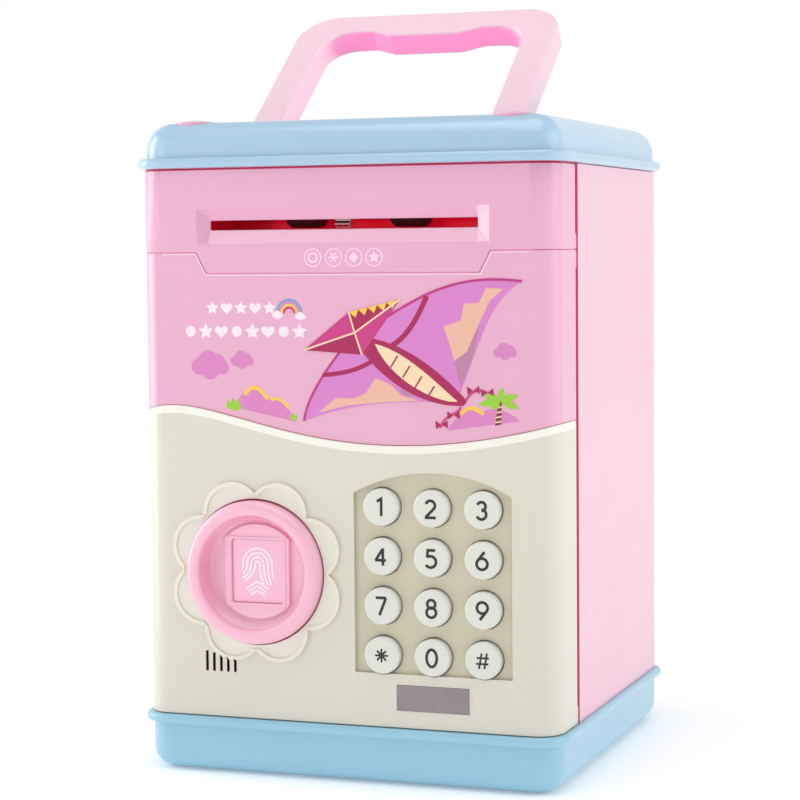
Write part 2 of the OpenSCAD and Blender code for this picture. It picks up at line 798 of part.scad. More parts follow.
module door_screws() color(steel) for (p = concat(cream_bosses, pink_bosses))
    translate([p[0], cover_y - 1, p[1]]) rotate([-90, 0, 0]) screw_down(1.2, 10, 2.4, 0.95);

module keypad_board() color(board_green) difference() {
    forward(board_y, board_y - board_t) span([1.5, 22.8], [53.4, 95]);
    for (p = board_posts) rod_y(p[0], p[1], 1.2, 0, -80);
}

module key_membrane() color([0.85, 0.85, 0.87]) {
    y = board_y - board_t;
    forward(y, y - membrane_t) span([3, 32], [52.4, 89.5]);
}

module led_window() color([0.70, 0.63, 0.68]) {
    forward(front_y + 1.15, front_y - 0.1)
        span([window[0] + 0.1, window[1] + 0.1], [window[2] - 0.1, window[3] - 0.1]);
}

module status_leds() for (i = [0:1]) color(i == 0 ? "red" : "lime")
    translate([22 + 11 * i, board_y - board_t, 26.3]) rotate([90, 0, 0]) {
        cylinder(r = 1.9, h = 0.8);
        cylinder(r = 1.5, h = 2.2);
        translate([0, 0, 2.2]) sphere(1.5);
    }

module speaker() color(dark) translate([speaker_x, -56.3, speaker_z]) rotate([-90, 0, 0]) rotate_extrude() {
    square([14, 1.4]);
    polygon([[0, 0], [13, 0], [13, 1.4], [8.4, 5], [0, 5]]);
}

module speaker_magnet() color(steel) rod_y(speaker_x, speaker_z, 8, -46.2, -51.3);

module control_board() color(board_green) difference() {
    forward(-47.5, -49.1) span([-50, 110], [46, 140]);
    rod_y(-6, 112, 3.5, 0, -80);
}

module board_parts() {
    color(dark) forward(-49.1, -50.7) span([-12, 120], [6, 132]);
    color(dark) forward(-49.1, -54) span([20, 118], [30, 128]);
    color(steel) for (x = [-40, -32, -24]) rod_y(x, 124, 2.5, -49.1, -55.5);
}

module lock_solenoid() color(steel) difference() {
    block([knob_x - 10, plunger_y - 5.2, 80], [knob_x + 10, plunger_y + 5.2, 97]);
    rod_z(knob_x, plunger_y, plunger_r + fit, 70, 100);
    for (sx = [-1, 1])
        block([knob_x + sx * 10 - 1.5, plunger_y - 10, 83], [knob_x + sx * 10 + 1.5, plunger_y + 10, 94]);
}

module lock_plunger() color(steel) {
    rod_z(knob_x, plunger_y, plunger_r, knob_z + disc_r + 0.6, 97.5);
    rod_z(knob_x, plunger_y, plunger_r + 1.2, 77.6, 78.8);
}

// ---------------------------------------------------------------- knob and lock

module knob() color(pink) difference() {
    translate([knob_x, 0, knob_z]) rotate([90, 0, 0]) {
        rotate_extrude($fn = 96) {
            // round rim standing proud of the door
            difference() {
                union() {
                    span([0, 58.9], [knob_r, 63.9]);
                    translate([knob_r - 2.6, 63.9]) circle(2.6);
                    span([0, 63.5], [knob_r - 2.6, 66.5]);
                }
                // dish
                polygon([[0, dish_floor], [dish_r - 2.8, dish_floor], [dish_r - 1.4, dish_floor + 0.8],
                    [dish_r, 63.8], [dish_r, 65.7], [dish_r + 0.25, 66.25], [dish_r + 0.8, 66.5],
                    [dish_r + 0.8, 70], [0, 70]]);
            }
            span([0, 35.5], [spindle_r, 60]);
        }
        // raised land round the pad, level across the dish
        translate([0, 0, dish_floor - 0.1]) linear_extrude(1.5) intersection() {
            circle(dish_r - 3);
            square([20.4, 50], center = true);
        }
    }
    forward(-59.55, -70) translate([knob_x, knob_z]) round_rect(16.4, 19, 1);
    rod_y(knob_x, knob_z, 1.5 + fit, -55, -70);
    rod_y(knob_x, knob_z, 0.9, -30, -42);
}

module fingerprint_pad() color(pale_pink) {
    forward(-60.2, -60.9) translate([knob_x, knob_z]) round_rect(16, 18.6, 0.8);
    rod_y(knob_x, knob_z, 1.5, -56.5, -60.5);
}

module lock_disc() color(white) difference() {
    rod_y(knob_x, knob_z, disc_r, disc_y, disc_y - disc_t);
    for (a = [0, 90]) forward(0, -80) translate([knob_x, knob_z]) rotate(a)
        span([notch_floor, -notch_w / 2], [disc_r + 2, notch_w / 2]);
    rod_y(knob_x, knob_z, spindle_r, 0, -80);
}

module latch_tongue() color(steel) difference() {
    forward(tongue_y, tongue_y - tongue_t) translate([knob_x, knob_z]) {
        circle(7);
        span([-4.5, 0], [4.5, tongue_len - 4.5]);
        translate([0, tongue_len - 4.5]) circle(4.5);
    }
    rod_y(knob_x, knob_z, spindle_r, -35.5, -80);
    rod_y(knob_x, knob_z, 1.1, 0, -80);
}

module tongue_screw() color(steel)
    translate([knob_x, tongue_y, knob_z]) rotate([-90, 0, 0]) screw_down(0.85, 5.5, 2.2, 1.4);

// ---------------------------------------------------------------- keys

// One round key with its retaining flange and foot
module key(i) color(white) {
    col = i % 3;
    row = floor(i / 3);
    translate([key_x0 + col * key_pitch_x, key_back, key_z0 - row * key_pitch_z])
        rotate([90, 0, 0]) rotate_extrude() {
            h = key_back - key_front;
            square([key_r, h - 0.8]);
            square([key_r - 0.8, h]);
            translate([key_r - 0.8, h - 0.8]) circle(0.8);
            translate([0, -0.8]) square([key_flange_r, 0.8]);
            translate([0, -key_foot]) square([2.5, 0.4]);
        }
}

base_tray();
battery_box();
battery_cover();
battery_cells();
battery_contacts();
battery_cover_screw();
chamber_floor();
base_screws();
body_shell();
strike_plate();
upper_front_panel();
feeder_housing();
feeder_screws();
feeder_motor();
motor_pulley();
roller_shaft();
feed_rollers();
shaft_pulley();
drive_belt();
bill_switch();
switch_lever();
bill_flap();
lid();
lid_screws();
screw_caps();
handle_pins();
handle();
hinge_pins();
door_front();
door_print_panel();
door_back_cover();
door_screws();
keypad_board();
key_membrane();
led_window();
status_leds();
speaker();
speaker_magnet();
control_board();
board_parts();
lock_solenoid();
lock_plunger();
knob();
lock_disc();
latch_tongue();
tongue_screw();
fingerprint_pad();
key(0);  // key_1
key(1);  // key_2
key(2);  // key_3
key(3);  // key_4
key(4);  // key_5
key(5);  // key_6
key(6);  // key_7
key(7);  // key_8
key(8);  // key_9
key(9);  // key_star
key(10);  // key_0
key(11);  // key_hash
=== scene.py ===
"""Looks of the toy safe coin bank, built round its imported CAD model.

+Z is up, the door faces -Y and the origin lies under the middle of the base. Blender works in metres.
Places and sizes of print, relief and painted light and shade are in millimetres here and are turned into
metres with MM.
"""

import math
from collections import defaultdict

import bmesh
import bpy
from mathutils import Matrix, Vector


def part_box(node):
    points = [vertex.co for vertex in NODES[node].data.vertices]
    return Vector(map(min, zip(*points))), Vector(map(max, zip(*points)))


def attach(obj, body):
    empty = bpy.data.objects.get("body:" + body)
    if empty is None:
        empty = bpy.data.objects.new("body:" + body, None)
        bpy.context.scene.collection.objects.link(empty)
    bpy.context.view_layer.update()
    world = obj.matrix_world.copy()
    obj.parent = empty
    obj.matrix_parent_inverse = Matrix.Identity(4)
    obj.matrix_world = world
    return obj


MM = 0.001
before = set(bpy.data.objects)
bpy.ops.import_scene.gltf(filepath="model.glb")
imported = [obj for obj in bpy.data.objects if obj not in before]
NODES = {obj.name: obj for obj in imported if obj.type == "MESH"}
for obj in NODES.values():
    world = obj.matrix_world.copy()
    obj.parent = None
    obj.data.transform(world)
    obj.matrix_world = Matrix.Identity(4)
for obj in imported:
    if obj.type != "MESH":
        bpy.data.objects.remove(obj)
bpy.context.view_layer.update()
scene = bpy.context.scene


# ------------------------------------------------------------------ places in mm, from the frame

def box_mm(node):
    """Lowest and highest corner of a CAD node in mm, to a micrometre."""
    return [[round(c / MM, 3) for c in corner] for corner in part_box(node)]


def middle(node):
    """Middle (x, z) of a CAD node seen from the front."""
    low, high = box_mm(node)
    return (low[0] + high[0]) / 2, (low[2] + high[2]) / 2


def half_size(node):
    """Half the width and half the height of a CAD node."""
    low, high = box_mm(node)
    return (high[0] - low[0]) / 2, (high[2] - low[2]) / 2


FRONT = box_mm("upper_front_panel")[0][1]
PANEL_FRONT = box_mm("door_print_panel")[0][1]
KEY_FRONT = box_mm("key_1")[0][1]
PAD_FRONT = box_mm("fingerprint_pad")[0][1]
KNOB_X, KNOB_Z = middle("fingerprint_pad")
# the seams: between the slot panel and the door, under the slot panel's tab, and under the lid
HALF_GAP = 0.1
PANEL_SEAM = box_mm("door_print_panel")[1][2] + HALF_GAP
TAB_SEAM = box_mm("upper_front_panel")[0][2] - HALF_GAP
LID_SEAM = (box_mm("body_shell")[1][2] + box_mm("lid")[0][2]) / 2
# the rounded front corners, and the y where strips that go round them end
CORNER_R = 8
CORNER_X = box_mm("body_shell")[1][0] - CORNER_R
CORNER_Y = FRONT + CORNER_R
SIDE_END = -43
# control points of the wave between the pink panel and the cream front
WAVE_X = (-66, -41.3, -12.2, 66)
WAVE_Z = (108.1, 120.3, 85.8, 107)
# flat print stands this far out of its surface, and a stroke across another a step further
INK = 0.02
INK_STEP = 0.004


# ------------------------------------------------------------------ shader nodes

MIX_FIRST, MIX_SECOND, MIX_RESULT = 6, 7, 2  # colour sockets of a Mix node


def linear(rgb):
    """sRGB 0-255 to linear 0-1 with alpha."""
    out = [c / 255 / 12.92 if c <= 10 else ((c / 255 + 0.055) / 1.055) ** 2.4 for c in rgb]
    return (*out, 1.0)


def shade(rgb, k):
    """A linear colour made k times as bright."""
    return tuple(min(1.0, c * k) for c in rgb[:3]) + (1.0,)


def new_material(name):
    mat = bpy.data.materials.new(name)
    mat.use_nodes = True
    tree = mat.node_tree
    return mat, tree, tree.nodes["Principled BSDF"]


def object_coords(tree):
    return tree.nodes.new("ShaderNodeTexCoord").outputs["Object"]


def split(tree, vector):
    """The X, Y and Z sockets of a vector."""
    node = tree.nodes.new("ShaderNodeSeparateXYZ")
    tree.links.new(vector, node.inputs["Vector"])
    return node.outputs


def noise(tree, scale, detail, coords):
    node = tree.nodes.new("ShaderNodeTexNoise")
    node.inputs["Scale"].default_value = scale
    node.inputs["Detail"].default_value = detail
    tree.links.new(coords, node.inputs["Vector"])
    return node.outputs["Fac"]


def spread(tree, value, low, high, top=0.7, bottom=0.3):
    """Maps a value so that bottom becomes low and top becomes high, held at both ends."""
    node = tree.nodes.new("ShaderNodeMapRange")
    for key, v in zip(("From Min", "From Max", "To Min", "To Max"), (bottom, top, low, high)):
        node.inputs[key].default_value = v
    tree.links.new(value, node.inputs["Value"])
    return node.outputs["Result"]


def maths(tree, operation, first, second):
    node = tree.nodes.new("ShaderNodeMath")
    node.operation = operation
    tree.links.new(first, node.inputs[0])
    tree.links.new(second, node.inputs[1])
    return node.outputs["Value"]


def two_colours(tree, factor, first, second):
    """Goes from the first colour to the second; the first may be a socket instead."""
    node = tree.nodes.new("ShaderNodeMix")
    node.data_type = "RGBA"
    tree.links.new(factor, node.inputs["Factor"])
    if isinstance(first, bpy.types.NodeSocket):
        tree.links.new(first, node.inputs[MIX_FIRST])
    else:
        node.inputs[MIX_FIRST].default_value = first
    node.inputs[MIX_SECOND].default_value = second
    return node.outputs[MIX_RESULT]


def bump(tree, bsdf, heights):
    """heights: (socket, distance in metres) pairs, chained into the shader's normal."""
    last = None
    for height, distance in heights:
        node = tree.nodes.new("ShaderNodeBump")
        node.inputs["Strength"].default_value = 1.0
        node.inputs["Distance"].default_value = distance
        tree.links.new(height, node.inputs["Height"])
        if last:
            tree.links.new(last, node.inputs["Normal"])
        last = node.outputs["Normal"]
    tree.links.new(last, bsdf.inputs["Normal"])


def region(tree, at, spans):
    """1 where every (axis, start, full) span in mm is reached, 0 outside, soft between."""
    axes = split(tree, at)
    out = None
    for axis, start, full in spans:
        part = spread(tree, axes[axis], 0, 1, top=full * MM, bottom=start * MM)
        out = part if out is None else maths(tree, "MULTIPLY", out, part)
    return out


def between(axis, low, high, fade=1):
    """Spans of a region from low to high whose edges fade in over this many mm."""
    return [(axis, high, high - fade), (axis, low, low + fade)]


# ------------------------------------------------------------------ materials

def plastic(name, rgb, rough=(0.26, 0.36), mottle=0.012, coat=0.0, grain=0.0, soft=0.0, light_and_shade=(),
            glow=0.0):
    """Moulded plastic: faint colour mottling, uneven gloss and long flow waves.

    painted light and shade: (colour, spans) steps that tint a region, such as a recess, lighter
    or darker; each span is an axis, the place in mm where the tint starts and the place where it is full.
    A glow above 0 adds a painted glow in the part's own colour.
    """
    mat, tree, bsdf = new_material(name)
    base = linear(rgb)
    at = object_coords(tree)
    patches = spread(tree, noise(tree, 38, 3, at), 0, 1, top=0.85, bottom=0.15)
    colour = two_colours(tree, patches, shade(base, 1 - mottle), shade(base, 1 + mottle))
    # painted light and shade laid over regions of the part
    for tint, spans in light_and_shade:
        colour = two_colours(tree, region(tree, at, spans), colour, linear(tint))
    tree.links.new(colour, bsdf.inputs["Base Color"])
    tree.links.new(spread(tree, noise(tree, 70, 2, at), *rough, top=0.95, bottom=0.05),
                   bsdf.inputs["Roughness"])
    waves = [(noise(tree, 45, 1, at), 8e-6)]
    if grain:
        waves.append((noise(tree, 1500, 2, at), grain))
    bump(tree, bsdf, waves)
    bsdf.inputs["Coat Weight"].default_value = coat
    bsdf.inputs["Coat Roughness"].default_value = 0.12
    if glow:
        # painted glow in place of the light that reaches the part, dimmer towards the left end
        bsdf.inputs["Emission Color"].default_value = base
        bright = region(tree, at, [("X", -33, -29)])
        tree.links.new(spread(tree, bright, 0.3 * glow, glow, top=1, bottom=0),
                       bsdf.inputs["Emission Strength"])
    if soft:
        bsdf.inputs["Subsurface Weight"].default_value = soft
        bsdf.inputs["Subsurface Radius"].default_value = (0.004, 0.002, 0.0015)
        bsdf.inputs["Subsurface Scale"].default_value = 0.5
    return mat


def paint_handle_light(mat, tint, rgb, strength):
    """Painted light on the handle, in place of light passing through it.

    A painted pink tint lightens the underside of the grip, and a painted glow lights it and the inner
    walls of the legs.
    rest, so the underside of its grip faces down and forward.
    """
    tree = mat.node_tree
    bsdf = tree.nodes["Principled BSDF"]
    facing = split(tree, tree.nodes.new("ShaderNodeTexCoord").outputs["Normal"])
    place = split(tree, object_coords(tree))
    grip = maths(tree, "MULTIPLY", spread(tree, facing["Z"], 1, 0, top=-0.2, bottom=-0.5),
                 spread(tree, facing["Y"], 1, 0, top=-0.2, bottom=-0.5))
    # an inner wall faces the middle, so its place and its facing have opposite signs along X
    inward = maths(tree, "MULTIPLY", place["X"], facing["X"])
    legs = spread(tree, inward, 1, 0, top=-0.01, bottom=-0.025)
    plain = bsdf.inputs["Base Color"].links[0].from_socket
    tree.links.new(two_colours(tree, grip, plain, linear(tint)), bsdf.inputs["Base Color"])
    tree.links.new(spread(tree, maths(tree, "MAXIMUM", grip, legs), 0, strength, top=1, bottom=0),
                   bsdf.inputs["Emission Strength"])
    bsdf.inputs["Emission Color"].default_value = linear(rgb)


def metal(name, rgb):
    """Plated steel with drawn lines."""
    mat, tree, bsdf = new_material(name)
    base = linear(rgb)
    stretch = tree.nodes.new("ShaderNodeMapping")
    stretch.inputs["Scale"].default_value = (1, 1, 9)
    tree.links.new(object_coords(tree), stretch.inputs["Vector"])
    lines = noise(tree, 900, 3, stretch.outputs["Vector"])
    tree.links.new(two_colours(tree, lines, shade(base, 0.85), shade(base, 1.08)),
                   bsdf.inputs["Base Color"])
    tree.links.new(spread(tree, lines, 0.22, 0.4), bsdf.inputs["Roughness"])
    bump(tree, bsdf, [(lines, 5e-6)])
    bsdf.inputs["Metallic"].default_value = 1.0
    return mat


def board(name, rgb):
    """Circuit board: solder mask over copper traces."""
    mat, tree, bsdf = new_material(name)
    base = linear(rgb)
    at = object_coords(tree)
    cells = tree.nodes.new("ShaderNodeTexVoronoi")
    cells.feature = "DISTANCE_TO_EDGE"
    cells.inputs["Scale"].default_value = 260
    tree.links.new(at, cells.inputs["Vector"])
    traces = spread(tree, cells.outputs["Distance"], 1, 0, top=0.09, bottom=0.05)
    tree.links.new(two_colours(tree, traces, base, shade(base, 1.9)), bsdf.inputs["Base Color"])
    tree.links.new(spread(tree, noise(tree, 500, 3, at), 0.3, 0.5), bsdf.inputs["Roughness"])
    bump(tree, bsdf, [(traces, 3e-5)])
    return mat


def banded(name, rgb, end_rgb, half):
    """Cell jacket: coloured sleeve with bare metal beyond half mm from the middle."""
    mat, tree, bsdf = new_material(name)
    at = object_coords(tree)
    size = tree.nodes.new("ShaderNodeMath")
    size.operation = "ABSOLUTE"
    tree.links.new(split(tree, at)["X"], size.inputs[0])
    ends = spread(tree, size.outputs["Value"], 0, 1, top=(half + 0.2) * MM, bottom=half * MM)
    speck = spread(tree, noise(tree, 700, 3, at), 0, 1)
    sleeve = two_colours(tree, speck, shade(linear(rgb), 0.9), shade(linear(rgb), 1.1))
    tree.links.new(two_colours(tree, ends, sleeve, linear(end_rgb)), bsdf.inputs["Base Color"])
    tree.links.new(ends, bsdf.inputs["Metallic"])
    tree.links.new(spread(tree, speck, 0.28, 0.42, top=1, bottom=0), bsdf.inputs["Roughness"])
    bump(tree, bsdf, [(speck, 4e-6)])
    return mat


def smoked(name, rgb, through):
    """Tinted acrylic that lets this share of the light through."""
    mat, tree, bsdf = new_material(name)
    base = linear(rgb)
    at = object_coords(tree)
    haze = spread(tree, noise(tree, 150, 3, at), 0, 1)
    tree.links.new(two_colours(tree, haze, shade(base, 0.94), shade(base, 1.06)),
                   bsdf.inputs["Base Color"])
    tree.links.new(spread(tree, noise(tree, 800, 2, at), 0.1, 0.2), bsdf.inputs["Roughness"])
    bump(tree, bsdf, [(noise(tree, 90, 1, at), 8e-6)])
    bsdf.inputs["Transmission Weight"].default_value = through
    bsdf.inputs["IOR"].default_value = 1.49
    return mat


def ink(name, rgb):
    """Printed colour, also used for the strips of painted shade and painted highlight: halftone speckle
    and slightly raised ink.
    """
    mat, tree, bsdf = new_material(name)
    base = linear(rgb)
    at = object_coords(tree)
    speck = noise(tree, 1800, 3, at)
    tree.links.new(two_colours(tree, speck, shade(base, 0.95), shade(base, 1.05)),
                   bsdf.inputs["Base Color"])
    tree.links.new(spread(tree, noise(tree, 300, 2, at), 0.38, 0.5), bsdf.inputs["Roughness"])
    bump(tree, bsdf, [(noise(tree, 600, 2, at), 2e-6)])
    return mat


# places on the parts that carry painted light or shade
INSIDE_DOOR = between("X", -56, 56)
MOUTH_SLOPES = ([("Y", FRONT + 0.03, FRONT + 0.15)] + between("X", -50, 50)
                + [("Z", 157.9, 158.3), ("Z", 170, 169.5)])  # the bevelled frame round the bill slot
SPEAKER_SLITS = ([("Y", FRONT + 0.05, FRONT + 0.3)] + between("X", -48, -33)
                 + [("Z", 28, 29), ("Z", 38.4, 37.6)])
KNOB_HOLLOW = [("Y", FRONT - 3, FRONT - 1)]

# painted shade: deep rose on the front edge of the right wall, in the seam beside the door
CASE_EDGE_SHADE = ((228, 88, 128), [("Y", -38.3, -38.6), ("X", 60, 62)])
# painted light and shade on the slopes round the bill slot and on the panel's top edge
MOUTH_LIGHT_AND_SHADE = [
    ((196, 40, 88), [("Z", 180.3, 180.5)]),  # painted shade: the top edge is darkened to stand for the seam under the lid
    ((228, 167, 196), MOUTH_SLOPES + [("Z", 165.3, 165.8)]),  # painted shade: upper slope, darker as it faces down
    ((238, 189, 211), MOUTH_SLOPES + [("Z", 162.8, 162.5)]),  # painted light: lower slope, lighter as it faces up
    ((224, 162, 193), MOUTH_SLOPES + [("X", -41.6, -41.9)]),  # painted shade: left slope, darker
    ((246, 207, 223), MOUTH_SLOPES + [("X", 41.6, 41.9)]),  # painted light: right slope, lighter
]
# painted light and shade in the knob's hollow, fixed to the knob so that it turns with it
KNOB_LIGHT_AND_SHADE = [
    ((250, 194, 216), [("Y", FRONT - 3.2, FRONT + 0.4)]),  # painted light: lighter from the rim inwards
    ((240, 160, 194), KNOB_HOLLOW + [("X", KNOB_X - 10.4, KNOB_X - 18.4)]),  # painted shade: darker left wall
    ((240, 160, 194), KNOB_HOLLOW + [("Z", KNOB_Z + 12.5, KNOB_Z + 19.5)]),  # painted shade: darker upper wall
    ((255, 212, 228), KNOB_HOLLOW + [("Z", KNOB_Z - 10.5, KNOB_Z - 16.5)]),  # painted light: lighter lower wall
]
# painted light and shade on the cream front of the door
CREAM_LIGHT_AND_SHADE = [
    ((206, 199, 176), [("Y", FRONT + 0.4, FRONT + 0.9)] + INSIDE_DOOR),  # painted shade: darker keypad recess
    ((206, 110, 124), [("Y", FRONT + 1.4, FRONT + 2)] + INSIDE_DOOR),  # painted shade: dark rose in the gaps round the keys
    # painted shade: dark walls of the speaker slits
    ((96, 44, 52), SPEAKER_SLITS),
    ((230, 229, 215), [("Y", FRONT - 0.2, FRONT - 0.5)]),  # painted light: lighter petals, where the knob's rim shades them
    ((232, 229, 212), [("Y", FRONT - 0.7, FRONT - 0.95)]),  # painted light: lighter rims of the petals
]
MATERIALS = {
    "lid_blue": plastic("lid_blue", (164, 197, 219), coat=0.4),
    "base_blue": plastic("base_blue", (151, 199, 222), coat=0.3),
    "pale_pink": plastic("pale_pink", (233, 188, 206), coat=0.05, light_and_shade=[CASE_EDGE_SHADE]),
    "pink": plastic("pink", (229, 171, 200), coat=0.15),
    "mouth_pink": plastic("mouth_pink", (229, 170, 199), coat=0.15, light_and_shade=MOUTH_LIGHT_AND_SHADE),
    "panel_pink": plastic("panel_pink", (229, 172, 199), coat=0.15, mottle=0.004),
    "knob_pink": plastic("knob_pink", (246, 187, 209), coat=0.3, rough=(0.2, 0.28), soft=0.1,
                         light_and_shade=KNOB_LIGHT_AND_SHADE),
    "handle_pink": plastic("handle_pink", (237, 202, 216), coat=0.1),
    "pad": plastic("pad_mauve", (252, 197, 221), rough=(0.35, 0.45)),
    "cream": plastic("cream", (218, 215, 200), coat=0.05, light_and_shade=CREAM_LIGHT_AND_SHADE),
    # painted highlight: a lighter cream for the rolled lip under the wave seam
    "lit_lip_cream": plastic("lit_lip_cream", (242, 240, 228), coat=0.2),
    "white": plastic("white", (228, 228, 230), rough=(0.35, 0.5)),
    "key": plastic("key_gloss", (219, 221, 211), coat=0.5, rough=(0.18, 0.26)),
    # painted glow: the red feeder behind the slot glows in place of the light that reaches inside it
    "red": plastic("deep_red", (214, 8, 52), rough=(0.3, 0.4), glow=0.32),
    "black": plastic("black_plastic", (34, 32, 36), rough=(0.4, 0.55)),
    "rubber": plastic("black_rubber", (62, 46, 54), rough=(0.55, 0.75), grain=1.5e-5),
    "silicone": plastic("silicone", (205, 205, 208), rough=(0.5, 0.6), soft=0.2),
    "steel": metal("plated_steel", (196, 198, 202)),
    "window": smoked("window_smoke", (160, 150, 156), 0.25),
    "board": board("circuit_board", (26, 96, 52)),
    "led": smoked("led_lens", (200, 70, 60), 0.5),
    "cell": banded("cell_jacket", (46, 118, 74), (200, 200, 198), 23.8),
}
SURFACES = {
    "lid_blue": "lid",
    "base_blue": "base_tray battery_cover",
    "pale_pink": "body_shell chamber_floor",
    "pink": "screw_caps",
    "mouth_pink": "upper_front_panel",
    "panel_pink": "door_print_panel",
    "knob_pink": "knob",
    "handle_pink": "handle",
    "pad": "fingerprint_pad",
    "cream": "door_front",
    "white": "door_back_cover motor_pulley shaft_pulley lock_disc",
    "red": "feeder_housing bill_flap",
    "black": "battery_box bill_switch speaker",
    "rubber": "feed_rollers drive_belt",
    "silicone": "key_membrane",
    "steel": "battery_contacts battery_cover_screw base_screws strike_plate feeder_screws "
             "feeder_motor roller_shaft switch_lever lid_screws handle_pins hinge_pins "
             "door_screws speaker_magnet lock_solenoid lock_plunger latch_tongue tongue_screw "
             "board_parts",
    "window": "led_window",
    "board": "keypad_board control_board",
    "led": "status_leds",
    "cell": "battery_cells",
    "key": "key_1 key_2 key_3 key_4 key_5 key_6 key_7 key_8 key_9 key_star key_0 key_hash",
}
# print colours; the two seam colours also colour sheets of painted shade in the seams, and the pale line
# paints a highlight strip as well as print
INKS = {name: ink("ink_" + name, rgb) for name, rgb in {
    "digit": (38, 34, 38), "white": (243, 228, 238), "mauve": (216, 130, 190),
    "orchid": (214, 128, 200), "peach": (234, 182, 160), "magenta": (200, 52, 130),
    "plum": (168, 16, 84), "yellow": (246, 202, 72), "green": (150, 205, 50),
    "trunk": (122, 60, 40), "straw": (242, 216, 178), "sky": (122, 160, 205),
    "rose_line": (190, 50, 130), "shadow": (186, 128, 160), "ridge": (255, 240, 248),
    "pale_print_and_highlight": (247, 214, 230), "seam": (232, 130, 172), "red_seam_shade": (228, 70, 104),
}.items()}


def dress_nodes():
    """Gives every CAD node the material that SURFACES names for it."""
    for key, names in SURFACES.items():
        for name in names.split():
            node = NODES[name]
            if not node.material_slots:
                node.data.materials.append(MATERIALS[key])
            for slot in node.material_slots:
                slot.material = MATERIALS[key]


# ------------------------------------------------------------------ camera, light, floor, in metres

def make_camera():
    data = bpy.data.cameras.new("camera")
    data.lens = 102.75
    data.sensor_width = 36
    data.clip_start = 0.01
    cam = bpy.data.objects.new("camera", data)
    scene.collection.objects.link(cam)
    right_of_front, above_level, roll = 19.909, 3.858, -0.538
    turn = (Matrix.Rotation(math.radians(right_of_front), 4, "Z")
            @ Matrix.Rotation(math.radians(90 - above_level), 4, "X")
            @ Matrix.Rotation(math.radians(roll), 4, "Z"))
    cam.matrix_world = Matrix.Translation((0.24201, -0.67987, 0.15754)) @ turn
    scene.camera = cam


def area_light(name, place, size, power):
    """A white soft box that faces the middle of the case."""
    data = bpy.data.lights.new(name, "AREA")
    data.shape = "RECTANGLE"
    data.size, data.size_y = size
    data.energy = power
    lamp = bpy.data.objects.new(name, data)
    scene.collection.objects.link(lamp)
    lamp.location = place
    aim = Vector((0, 0, 0.1)) - Vector(place)
    lamp.rotation_euler = aim.to_track_quat("-Z", "Y").to_euler()


def make_world():
    """Surroundings: even white at the horizon, dimmer overhead and on the side of the door."""
    world = bpy.data.worlds.new("studio")
    scene.world = world
    world.use_nodes = True
    tree = world.node_tree
    way = split(tree, tree.nodes.new("ShaderNodeTexCoord").outputs["Generated"])
    front = maths(tree, "MAXIMUM", spread(tree, way["Y"], 0.5, 1.0, top=0.4, bottom=-0.1),
                  spread(tree, way["Z"], 1.0, 0.5, top=0.25, bottom=0.1))
    glow = maths(tree, "MULTIPLY", front, spread(tree, way["Z"], 1.0, 0.45, top=0.65, bottom=0.3))
    background = tree.nodes["Background"]
    tree.links.new(glow, background.inputs["Strength"])
    background.inputs["Color"].default_value = (1, 1, 1, 1)


def make_floor():
    """Pale disc that glows faintly away from the object, so that it fades into the background."""
    mesh = bpy.data.meshes.new("floor")
    bm = bmesh.new()
    bmesh.ops.create_circle(bm, cap_ends=True, radius=4.0, segments=96)
    bm.to_mesh(mesh)
    bm.free()
    floor = bpy.data.objects.new("floor", mesh)
    floor.location.z = -0.0002
    scene.collection.objects.link(floor)
    paint = plastic("floor_paint", (250, 250, 250), rough=(0.6, 0.7), mottle=0.005)
    tree = paint.node_tree
    bsdf = tree.nodes["Principled BSDF"]
    away = tree.nodes.new("ShaderNodeVectorMath")
    away.operation = "LENGTH"
    tree.links.new(object_coords(tree), away.inputs[0])
    tree.links.new(spread(tree, away.outputs["Value"], 0.18, 0.58, top=1.0, bottom=0.2),
                   bsdf.inputs["Emission Strength"])
    bsdf.inputs["Emission Color"].default_value = (1, 1, 1, 1)
    mesh.materials.append(paint)


def make_studio():
    scene.view_settings.view_transform = "Standard"
    make_world()
    area_light("right_box", (1.0, 0.1, 0.45), (0.8, 0.9), 2.8)
    area_light("left_box", (-1.0, -0.1, 0.35), (0.5, 0.9), 5.0)
    area_light("top_box", (0.1, -0.25, 1.1), (0.9, 0.9), 6.2)
    area_light("left_strip", (-0.55, -0.65, 0.3), (0.18, 0.9), 0.9)
    make_floor()


# ------------------------------------------------------------------ rounded edges of CAD nodes

def weld(node):
    """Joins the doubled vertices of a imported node."""
    join = node.modifiers.new("weld", "WELD")
    join.merge_threshold = 2e-6


def bevel(node, width, segments, method):
    """Adds a bevel of width mm to a node and returns it."""
    edge = node.modifiers.new("edge", "BEVEL")
    edge.width = width * MM
    edge.segments = segments
    edge.limit_method = method
    edge.use_clamp_overlap = False
    edge.harden_normals = True
    return edge


def soften(name, width):
    """Rounds the moulded edges of a node by width mm, with its flat faces made whole first."""
    node = NODES[name]
    weld(node)
    flat = node.modifiers.new("flat", "DECIMATE")
    flat.decimate_type = "DISSOLVE"
    flat.angle_limit = math.radians(0.4)
    bevel(node, width, 2, "ANGLE").angle_limit = math.radians(35)


def cubic(t, a, b, c, d):
    """Value at t on the cubic curve with these four control values."""
    return a * (1 - t) ** 3 + 3 * b * (1 - t) ** 2 * t + 3 * c * (1 - t) * t * t + d * t ** 3


def wave_height(x):
    """Height in mm of the seam under the print panel, at x in mm."""
    low, high = 0.0, 1.0
    for _ in range(30):
        t = (low + high) / 2
        low, high = (t, high) if cubic(t, *WAVE_X) < x else (low, t)
    return cubic(t, *WAVE_Z)


